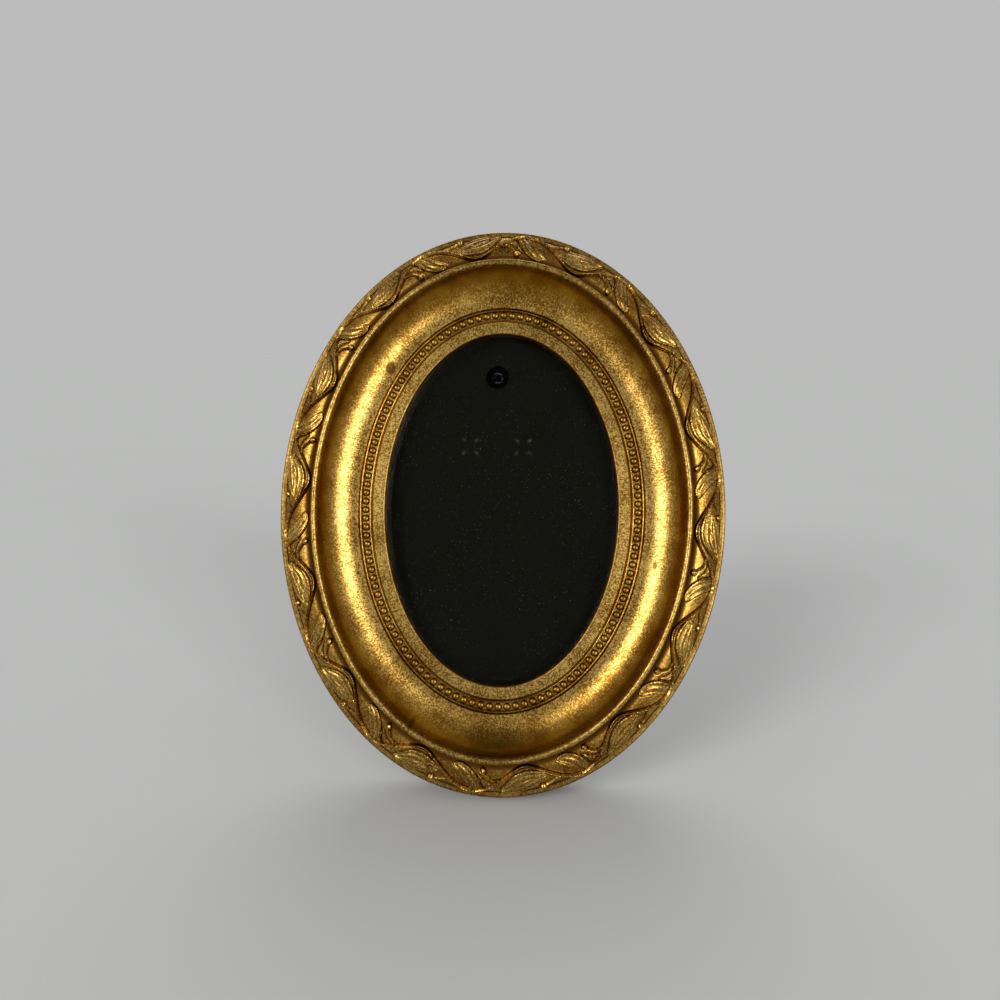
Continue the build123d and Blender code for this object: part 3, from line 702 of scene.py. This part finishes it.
def vine_band():
    """Carved band between the lip and the outer fillet."""
    rows = np.linspace(-BAND_OVERLAP, 1 + BAND_OVERLAP, VINE_ROWS)
    section, normal, chord = vine_base(rows)
    columns = REPEATS * COLUMNS_PER_REPEAT
    angles, length = clockwise_angles((VINE_START + FILLET_START) / 2, columns, BUD_PHASE / REPEATS)
    relief, wash_and_shade = vine_relief(rows, (length / REPEATS, chord))
    relief = np.tile(relief, (REPEATS, 1))
    wash_and_shade = np.maximum(np.tile(wash_and_shade, (REPEATS, 1)), ground_wash_and_shade(rows, relief))
    grain = np.clip(VINE_GRAIN + relief * VINE_GRAIN_RISE, 0, VINE_MOST_GRAIN)
    seat = section[[-1, 0]] - VINE_SEAT_DEPTH * SEATED_SHARE * normal[[-1, 0]]
    under = np.broadcast_to(seat[None], (columns, 2, 2))
    top = section[None] + relief[:, :, None] * normal[None]
    grid = np.concatenate([top, under], axis=1)
    finish = {
        "grain": np.concatenate([grain, np.zeros((columns, 2))], axis=1),
        "wash_and_shade": np.concatenate([wash_and_shade, np.ones((columns, 2))], axis=1),
        "bare": np.zeros((columns, VINE_ROWS + 2)),
    }
    return ring_object("vine_band", angles, length, grid[:, :, 0], grid[:, :, 1], finish)


# Materials

class Nodes:
    """Nodes of one material or world, added and linked by short calls that return an output."""

    def __init__(self, owner):
        owner.use_nodes = True
        self.owner = owner
        self.tree = owner.node_tree

    def put(self, socket, value):
        """Link an output to a socket, or set the socket to a constant."""
        if isinstance(value, bpy.types.NodeSocket):
            self.tree.links.new(value, socket)
        else:
            socket.default_value = value

    def fill(self, node, inputs):
        """Link or set some of a node's inputs."""
        for key, value in inputs.items():
            self.put(node.inputs[key], value)

    def add(self, kind, inputs=None, **settings):
        """New node with its settings, and its inputs linked or set."""
        node = self.tree.nodes.new("ShaderNode" + kind)
        for key, value in settings.items():
            setattr(node, key, value)
        self.fill(node, inputs or {})
        return node

    def surface(self, **inputs):
        """Set or link the shader's inputs, with _ for a space in their names."""
        shader = self.tree.nodes["Principled BSDF"]
        self.fill(shader, {key.replace("_", " "): value for key, value in inputs.items()})
        return self.owner

    def attribute(self, name, output="Fac"):
        """Value that the mesh has under this name."""
        return self.add("Attribute", attribute_name=name).outputs[output]

    def coordinates(self):
        """Place on the object, in metres."""
        return self.add("TexCoord").outputs["Object"]

    def stretched(self, vector, scale):
        """Place scaled along its axes: less than 1 draws a pattern out."""
        return self.add("Mapping", {"Vector": vector, "Scale": scale}).outputs["Vector"]

    def noise(self, vector, scale, detail, roughness):
        """Cloudy pattern round 0.5, with a scale per metre."""
        inputs = {"Vector": vector, "Scale": scale, "Detail": detail, "Roughness": roughness}
        return self.add("TexNoise", inputs).outputs["Fac"]

    def math(self, operation, first, second):
        """Sum, product or the like of two values."""
        return self.add("Math", {0: first, 1: second}, operation=operation).outputs[0]

    def span(self, value, low, high, start=0.0, end=1.0):
        """The value spread from low to high over start to end, and held there."""
        inputs = {"Value": value, "From Min": low, "From Max": high, "To Min": start, "To Max": end}
        return self.add("MapRange", inputs, interpolation_type="SMOOTHSTEP").outputs["Result"]

    def mix(self, share, first, second):
        """The first colour, with a share of the second."""
        node = self.add("Mix", data_type="RGBA")
        sockets = {socket.identifier: socket for socket in node.inputs}
        self.put(sockets["Factor_Float"], share)
        self.put(sockets["A_Color"], first)
        self.put(sockets["B_Color"], second)
        return next(socket for socket in node.outputs if socket.identifier == "Result_Color")

    def blend(self, value, low, high, pair):
        """From the first to the second colour of a pair, as the value goes from low to high."""
        return self.mix(self.span(value, low, high), colour(pair[0]), colour(pair[1]))

    def bump(self, height, strength, depth):
        """Small relief, with its depth in metres."""
        inputs = {"Height": height, "Strength": strength, "Distance": depth}
        return self.add("Bump", inputs).outputs["Normal"]


def material_nodes(name):
    """Nodes of a new material."""
    return Nodes(bpy.data.materials.new(name))


def colour(shade):
    """Red, green and blue with full cover."""
    return (*shade, 1.0)


def gilding():
    """Antique gilding: rubbed grainy gold, smooth amber gold, brown glaze in the hollows with painted shade
    in the vine's grooves and folds, and bare back.
    """
    n = material_nodes("antique_gilding")
    spot = n.coordinates()
    place = n.attribute("place", "Vector")
    grain = n.attribute("grain")
    wash_and_shade = n.attribute("wash_and_shade")
    bare = n.attribute("bare")
    patch = n.noise(spot, 110, 4, 0.6)
    speck = n.noise(spot, 1900, 3, 0.7)
    dust = n.noise(spot, 5200, 2, 0.6)
    streak = n.noise(n.stretched(place, (1.0, 1.0, 0.45)), 2300, 3, 0.6)
    rub = n.math("ADD", n.math("MULTIPLY", speck, 0.7), n.math("MULTIPLY", streak, 0.3))
    rub = n.math("ADD", rub, n.math("MULTIPLY", n.math("SUBTRACT", patch, 0.5), 0.2))
    grained = n.blend(rub, 0.42, 0.61, RUBBED_GOLD)
    smooth = n.blend(patch, 0.35, 0.65, AMBER_GOLD)
    uneven = n.math("ADD", grain, n.math("MULTIPLY", n.math("SUBTRACT", rub, 0.5), 0.9))
    gold = n.mix(n.span(uneven, 0.2, 0.75), smooth, grained)
    # Brown glaze, also used as painted shade in the vine's grooves and folds.
    brown = n.blend(dust, 0.3, 0.7, BROWN_WASH_AND_SHADE)
    pits = n.span(n.noise(spot, 1500, 2, 0.5), 0.69, 0.74)
    pits = n.math("MULTIPLY", pits, n.span(patch, 0.42, 0.6))
    depth = n.math("MULTIPLY", wash_and_shade, n.span(speck, 0.2, 0.6, 0.75, 1.1))
    depth = n.math("MAXIMUM", depth, n.math("MULTIPLY", pits, 0.7))
    toned = n.mix(n.span(depth, 0.15, 0.85), gold, brown)
    paint = n.mix(bare, toned, n.blend(patch, 0.3, 0.7, BROWN_PAINT))
    metal = n.math("SUBTRACT", 1.0, bare)
    rough = n.math("ADD", n.span(grain, 0.0, 0.8, 0.26, 0.28), n.math("MULTIPLY", depth, 0.2))
    relief = n.math("ADD", speck, n.math("MULTIPLY", streak, 0.4))
    height = n.math("MULTIPLY", relief, n.span(grain, 0.1, 0.8, 0.12, 1.0))
    return n.surface(
        Base_Color=paint,
        Metallic=metal,
        Roughness=rough,
        Specular_IOR_Level=0.1,
        Normal=n.bump(height, 0.22, 0.00012),
    )


def clear_glass():
    """Thin glass with faint smears, which lets light through to what lies behind it."""
    n = material_nodes("clear_glass")
    smear = n.noise(n.coordinates(), 60, 3, 0.55)
    rough = n.span(smear, 0.4, 0.8, 0.0, 0.03)
    n.surface(Base_Color=colour(GLASS_TINT), Roughness=rough, Transmission_Weight=1.0, IOR=1.25)
    glass = n.tree.nodes["Principled BSDF"].outputs[0]
    through = n.add("BsdfTransparent", {"Color": colour(GLASS_SHADOW)}).outputs[0]
    shadow = n.add("LightPath").outputs["Is Shadow Ray"]
    mixed = n.add("MixShader", {0: shadow, 1: glass, 2: through}).outputs[0]
    n.put(n.tree.nodes["Material Output"].inputs["Surface"], mixed)
    return n.owner


def black_paper():
    """Black paper with specks of dust, rubbed paler over the prongs."""
    n = material_nodes("black_paper")
    spot = n.coordinates()
    fibre = n.noise(spot, 900, 4, 0.65)
    drift = n.span(n.noise(spot, 60, 2, 0.5), 0.35, 0.65, 0.4, 1.0)
    dust = n.math("MULTIPLY", n.span(n.noise(spot, 2600, 1, 0.4), 0.722, 0.775), drift)
    shade = n.blend(fibre, 0.3, 0.7, BLACK_PAPER)
    rubbed = n.math("MULTIPLY", n.attribute("worn"), n.span(n.noise(spot, 420, 2, 0.5), 0.3, 0.5))
    worn = n.mix(rubbed, shade, colour(RUBBED_PAPER))
    paint = n.mix(dust, worn, colour(PALE_DUST))
    rough = n.span(fibre, 0.3, 0.7, 0.66, 0.72)
    return n.surface(Base_Color=paint, Roughness=rough, Specular_IOR_Level=0.012)


def fibreboard(name, pair):
    """Pressed board with short lying fibres."""
    n = material_nodes(name)
    fibre = n.noise(n.stretched(n.coordinates(), (1.0, 1.0, 3.0)), 700, 5, 0.7)
    paint = n.blend(fibre, 0.3, 0.7, pair)
    normal = n.bump(fibre, 0.4, 0.0002)
    return n.surface(Base_Color=paint, Roughness=0.85, Specular_IOR_Level=0.005, Normal=normal)


def black_velour():
    """Short black pile, brushed and a little worn."""
    n = material_nodes("black_velour")
    spot = n.coordinates()
    pile = n.noise(spot, 3200, 3, 0.7)
    brushed = n.noise(n.stretched(spot, (1.0, 1.0, 0.4)), 70, 3, 0.6)
    worn = n.math("ADD", n.math("MULTIPLY", pile, 0.5), n.math("MULTIPLY", brushed, 0.5))
    return n.surface(
        Base_Color=n.blend(worn, 0.35, 0.65, BLACK_PILE),
        Roughness=n.span(pile, 0.3, 0.7, 0.8, 0.95),
        Normal=n.bump(pile, 0.7, 0.00025),
        Sheen_Weight=0.35,
        Sheen_Roughness=0.45,
        Sheen_Tint=colour(PILE_SHEEN),
    )


def plated(name, pair, drawn):
    """Plated sheet metal with fine drawn lines and dull patches."""
    n = material_nodes(name)
    spot = n.coordinates()
    lines = n.noise(n.stretched(spot, drawn), 2500, 3, 0.6)
    stain = n.noise(spot, 260, 4, 0.65)
    paint = n.blend(stain, 0.45, 0.75, pair)
    rough = n.math("ADD", n.span(stain, 0.35, 0.75, 0.24, 0.42), n.math("MULTIPLY", lines, 0.1))
    return n.surface(Base_Color=paint, Metallic=1.0, Roughness=rough, Normal=n.bump(lines, 0.12, 0.00005))


def black_lacquer():
    """Black lacquer on the eyelet, with a broken grey ring along its rolled rim: worn lacquer and a painted
    highlight.
    """
    n = material_nodes("black_lacquer")
    middle = STANDING @ Vector((EASEL_OFFSET, EYELET_HEIGHT, 0))
    out = STANDING.to_3x3().normalized() @ Vector((0, 0, 1))
    spot = n.add("NewGeometry").outputs["Position"]
    away = n.add("VectorMath", {0: spot, 1: middle}, operation="SUBTRACT").outputs[0]
    side = n.add("VectorMath", {0: away, 1: out}, operation="CROSS_PRODUCT").outputs[0]
    radius = n.add("VectorMath", {0: side}, operation="LENGTH").outputs["Value"]
    off_rim = n.math("ABSOLUTE", n.math("SUBTRACT", radius, EYELET_RIM * MM), 0.0)
    # Painted highlight: a thin grey ring where the rolled rim would catch the light, broken like worn
    # lacquer.
    rim = n.span(off_rim, 0.0, EYELET_RIM_WEAR_AND_HIGHLIGHT * MM, 1.0, 0.0)
    wear = n.noise(n.coordinates(), 700, 3, 0.6)
    worn = n.math("MULTIPLY", rim, n.span(wear, 0.46, 0.58))
    paint = n.mix(worn, colour(LACQUER), colour(LACQUER_WORN_AND_HIGHLIGHT))
    rough = n.span(wear, 0.3, 0.7, 0.3, 0.4)
    return n.surface(Base_Color=paint, Roughness=rough, Specular_IOR_Level=0.02)


def dress(material, *names):
    """Give CAD nodes a material in place of their own."""
    for name in names:
        mesh = frame["nodes"][name].data
        mesh.materials.clear()
        mesh.materials.append(material)


def dress_nodes():
    """Finish of every node that keeps its shape."""
    nickel = plated("nickel_plate", NICKEL, (0.1, 1.0, 1.0))
    brass = plated("brass_plate", BRASS, (1.0, 1.0, 0.15))
    corners = ("top_right", "top_left", "bottom_left", "bottom_right")
    dress(clear_glass(), "glass_pane")
    dress(fibreboard("black_board", BLACK_BOARD), "backing_board")
    dress(fibreboard("brown_board", BROWN_BOARD), "strut")
    dress(black_velour(), "board_lining", "strut_lining")
    dress(black_lacquer(), "hanger_eyelet")
    dress(nickel, "hanger_strap", "hanger_ring", "hinge_board_leaf", "hinge_pin")
    dress(nickel, "hinge_strut_leaf", "board_rivet_left", "board_rivet_right")
    dress(nickel, "strut_rivet_left", "strut_rivet_right")
    dress(brass, *(f"turn_button_{corner}" for corner in corners))
    dress(brass, *(f"turn_button_screw_{corner}" for corner in corners))


# Facing

def oval_points(centre, half_width, half_height, sides):
    """Level points round an oval, anticlockwise from its right."""
    turn = 2 * math.pi * np.arange(sides) / sides
    x = centre[0] + half_width * np.cos(turn)
    y = centre[1] + half_height * np.sin(turn)
    return np.stack([x, y], axis=-1)


def loop_edges(first, count):
    """Edges of a closed loop of points that are numbered from the first."""
    return [(first + i, first + (i + 1) % count) for i in range(count)]


def dent_shape(x, y):
    """How far the rivets' prongs press the paper up from behind, from 0 to 1."""
    rise = np.zeros_like(x)
    for side in (-RIVET_SIDE, RIVET_SIDE):
        for prong in range(PRONGS):
            turn = 2 * math.pi * (prong + 0.5) / PRONGS
            away_x = x - (EASEL_OFFSET + side + PRONG_PLACE * math.cos(turn))
            away_y = y - (RIVET_HEIGHT + PRONG_PLACE * math.sin(turn))
            along = (away_x * math.cos(turn) + away_y * math.sin(turn)) / DENT_HALF_LENGTH
            across = (away_y * math.cos(turn) - away_x * math.sin(turn)) / DENT_HALF_WIDTH
            rise = np.maximum(rise, np.exp(-(along ** 2) - across ** 2))
    return rise


def dent_patch():
    """Closely set level points over both rivets, which carry the dents."""
    reach_x = RIVET_SIDE + PRONG_PLACE + DENT_MARGIN
    reach_y = PRONG_PLACE + DENT_MARGIN
    x = EASEL_OFFSET + np.arange(-reach_x, reach_x, DENT_STEP)
    y = RIVET_HEIGHT + np.arange(-reach_y, reach_y, DENT_STEP)
    return np.stack(np.meshgrid(x, y), axis=-1).reshape(-1, 2)


def paper_facing():
    """Black paper behind the glass, with the hanger's hole and the faint dents of the rivets' prongs."""
    middle = np.array((EASEL_OFFSET, EYELET_HEIGHT))
    half_width = SIGHT_HALF_WIDTH + PANE_OUTSET
    half_height = SIGHT_HALF_HEIGHT + PANE_OUTSET
    rim = oval_points((0, 0), half_width, half_height, FACING_SIDES)
    hole = oval_points(middle, RECESS_RADIUS, RECESS_RADIUS, RECESS_SIDES)
    flat = [Vector(point) for point in np.concatenate([rim, hole, dent_patch()])]
    edges = loop_edges(0, FACING_SIDES) + loop_edges(FACING_SIDES, RECESS_SIDES)
    only_inside = 1
    corners, _, triangles, *_ = delaunay_2d_cdt(flat, edges, [], only_inside, MERGE_DISTANCE)
    corners = np.array([tuple(corner) for corner in corners])
    places = [corners[list(triangle)].mean(axis=0) for triangle in triangles]
    kept = [t for t, place in zip(triangles, places) if np.hypot(*(place - middle)) > RECESS_RADIUS]
    return sheet("paper_facing", corners, kept, FACING_FRONT, dent_shape(corners[:, 0], corners[:, 1]))


def sheet(name, flat, faces, front, dent):
    """Thin paper from level points and faces, with its front pressed up by the dents."""
    count = len(flat)
    above = np.column_stack([flat, front + DENT_HEIGHT * dent])
    below = np.column_stack([flat, np.full(count, front - FACING_THICKNESS)])
    shell = [tuple(face) for face in faces]
    shell += [tuple(i + count for i in reversed(face)) for face in faces]
    shell += [(b, a, a + count, b + count) for a, b in open_edges(faces)]
    worn = np.concatenate([dent, np.zeros(count)])
    return mesh_object(name, np.concatenate([above, below]), shell, {"worn": worn})


def open_edges(faces):
    """Edges that belong to one face only, in its order."""
    runs = {(face[i - 1], face[i]) for face in faces for i in range(len(face))}
    return sorted(edge for edge in runs if edge[::-1] not in runs)


def bore_shade_disc():
    """Black disc in the eyelet's bore, painted shade that darkens the bore."""
    ring = oval_points((EASEL_OFFSET, EYELET_HEIGHT), BORE_RADIUS, BORE_RADIUS, BORE_SIDES)
    return sheet("bore_shade_disc", ring, [range(BORE_SIDES)], BORE_SHADE_DISC_FRONT, np.zeros(BORE_SIDES))


def add_facing():
    """Paper behind the glass, and the darker disc in the eyelet's bore, which is painted shade."""
    facing = paper_facing()
    # Painted shade: a black disc fills the eyelet's bore.
    shade_disc = bore_shade_disc()
    facing.data.materials.append(black_paper())
    shade_disc.data.materials.append(fibreboard("bore_shade_paper", BLACK_BOARD))
    for piece in (facing, shade_disc):
        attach(piece, "frame")
    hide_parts("board_facing")


# Gilt pieces

def add_gilt_pieces():
    """Moulding, beading and vine, all of one casting."""
    gold = gilding()
    body = moulding_body()
    for piece in (body, beading(), vine_band()):
        piece.data.materials.append(gold)
        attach(piece, "frame")
    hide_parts("frame_moulding")


# Stage

def floor_paper():
    """Matt pale paper, a little uneven in tone."""
    n = material_nodes("pale_paper")
    tone = n.noise(n.coordinates(), 6, 2, 0.5)
    paint = n.blend(tone, 0.3, 0.7, PALE_FLOOR)
    return n.surface(Base_Color=paint, Roughness=0.9, Specular_IOR_Level=0.0)


def add_stage():
    """Wide round pale floor that runs out into the room's own tone."""
    ring = oval_points((0, 0), FLOOR_RADIUS, FLOOR_RADIUS, FLOOR_SIDES)
    points = np.column_stack([ring, np.zeros(FLOOR_SIDES)])
    mesh = bpy.data.meshes.new("pale_floor")
    mesh.from_pydata(points.tolist(), [], [tuple(range(FLOOR_SIDES))])
    mesh.materials.append(floor_paper())
    stage = bpy.data.objects.new("pale_floor", mesh)
    bpy.context.scene.collection.objects.link(stage)


def add_lamp(name, way, width, strength):
    """Large far lamp: the way towards it, its width in degrees and its strength."""
    light = bpy.data.lights.new(name, "SUN")
    light.angle = math.radians(width)
    light.energy = strength
    lamp = bpy.data.objects.new(name, light)
    lamp.rotation_euler = (-Vector(way)).to_track_quat("-Z", "Y").to_euler()
    bpy.context.scene.collection.objects.link(lamp)


def add_room():
    """Soft pale room, dim towards the dark end that faces the picture."""
    n = Nodes(bpy.data.worlds.new("soft_room"))
    way = n.add("SeparateXYZ", {0: n.add("TexCoord").outputs["Generated"]}).outputs
    side = n.math("ABSOLUTE", n.math("ADD", way["X"], ROOM_SHIFT), 0.0)
    gap = n.math("MAXIMUM", side, way["Y"])
    level = n.span(gap, *ROOM_GAP, ROOM_DIM, ROOM_LIGHT)
    n.fill(n.tree.nodes["Background"], {"Color": colour(ROOM_TINT), "Strength": level})
    bpy.context.scene.world = n.owner


def add_lights():
    """Two front lights whose shine lies in the cove, and a light from above and behind."""
    to_room = STANDING.to_3x3().normalized()
    for name, (way, width, strength) in FRONT_LIGHTS.items():
        add_lamp(name, to_room @ Vector(way), width, strength)
    add_lamp("top_light", *TOP_LIGHT)


def add_camera():
    """Camera at the photograph's viewing angle, face on to the picture."""
    data = bpy.data.cameras.new("main_camera")
    data.sensor_width = SENSOR_WIDTH
    data.lens = SENSOR_WIDTH * FOCAL_PIXELS / PICTURE_PIXELS
    data.clip_start = NEAREST_SEEN
    camera = bpy.data.objects.new("main_camera", data)
    turn = Vector(CAMERA_TURN)
    aim = Matrix.Rotation(turn.length, 4, turn.normalized())
    lying = STANDING.to_3x3().normalized().to_4x4() @ aim
    camera.matrix_world = Matrix.Translation(STANDING @ Vector(CAMERA_PLACE)) @ lying
    bpy.context.scene.collection.objects.link(camera)
    bpy.context.scene.camera = camera


bpy.context.scene.view_settings.view_transform = "Standard"
add_gilt_pieces()
add_facing()
dress_nodes()
add_stage()
add_room()
add_lights()
add_camera()
